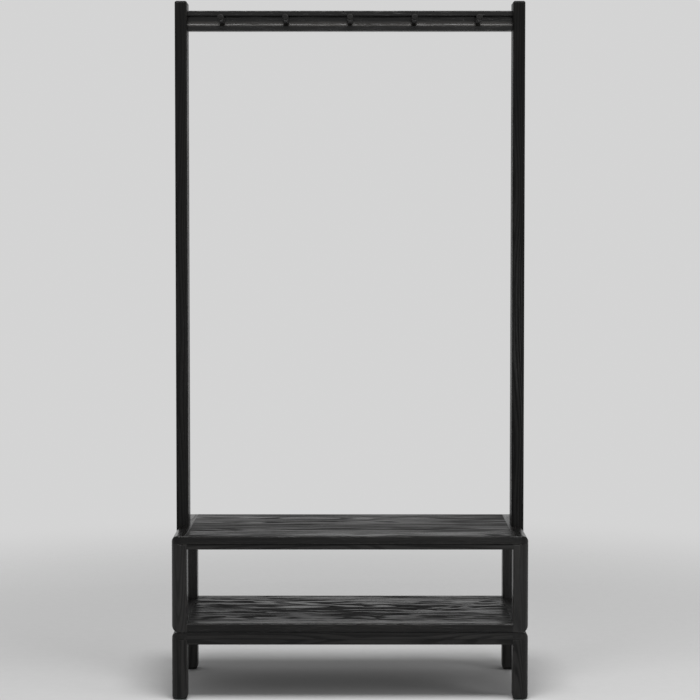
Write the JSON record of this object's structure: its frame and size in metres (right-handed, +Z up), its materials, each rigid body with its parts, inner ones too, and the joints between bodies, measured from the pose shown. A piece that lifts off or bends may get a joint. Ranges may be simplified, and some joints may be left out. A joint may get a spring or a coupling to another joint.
{
  "type": "hall bench with coat rack",
  "caption": "Free-standing black-stained oak hall bench with a low shelf, two posts rising from the seat and a coved rail of round pegs between them for coats.",
  "frame": {"origin": "on the floor at the middle of the footprint", "axes": "+Z up, +X along the bench to the right as seen from the front, front faces -Y"},
  "size_m": [0.914, 0.38, 1.8],
  "materials": {
    "black_oak": "black stain under satin lacquer, open grain",
    "beech_tenon": "bare, sanded",
    "steel_bolt": "black oxide",
    "brass_insert": "machined",
    "felt_glide": "pressed felt"
  },
  "bodies": {
    "root": {"base_back_rail": "black_oak", "base_end_rail_left": "black_oak", "base_end_rail_right": "black_oak", "base_front_rail": "black_oak", "base_leg_back_left": "black_oak", "base_leg_back_right": "black_oak", "base_leg_front_left": "black_oak", "base_leg_front_right": "black_oak", "base_side_rail_left": "black_oak", "base_side_rail_right": "black_oak", "floor_glides": "felt_glide", "leg_tenons": "beech_tenon", "module_bolts": "steel_bolt", "module_inserts": "brass_insert", "module_tenons": "beech_tenon", "peg_1": "black_oak", "peg_2": "black_oak", "peg_3": "black_oak", "peg_4": "black_oak", "peg_5": "black_oak", "peg_rail": "black_oak", "post_bolts": "steel_bolt", "post_inserts": "brass_insert", "post_left": "black_oak", "post_right": "black_oak", "rail_tenons": "beech_tenon", "seat_back_rail": "black_oak", "seat_end_rail_left": "black_oak", "seat_end_rail_right": "black_oak", "seat_front_rail": "black_oak", "seat_panel": "black_oak", "seat_side_rail_left": "black_oak", "seat_side_rail_right": "black_oak", "shelf_panel": "black_oak", "shelf_side_rail_left": "black_oak", "shelf_side_rail_right": "black_oak", "shelf_tenons": "beech_tenon", "upper_leg_back_left": "black_oak", "upper_leg_back_right": "black_oak", "upper_leg_front_left": "black_oak", "upper_leg_front_right": "black_oak"}
  },
  "joints": []
}
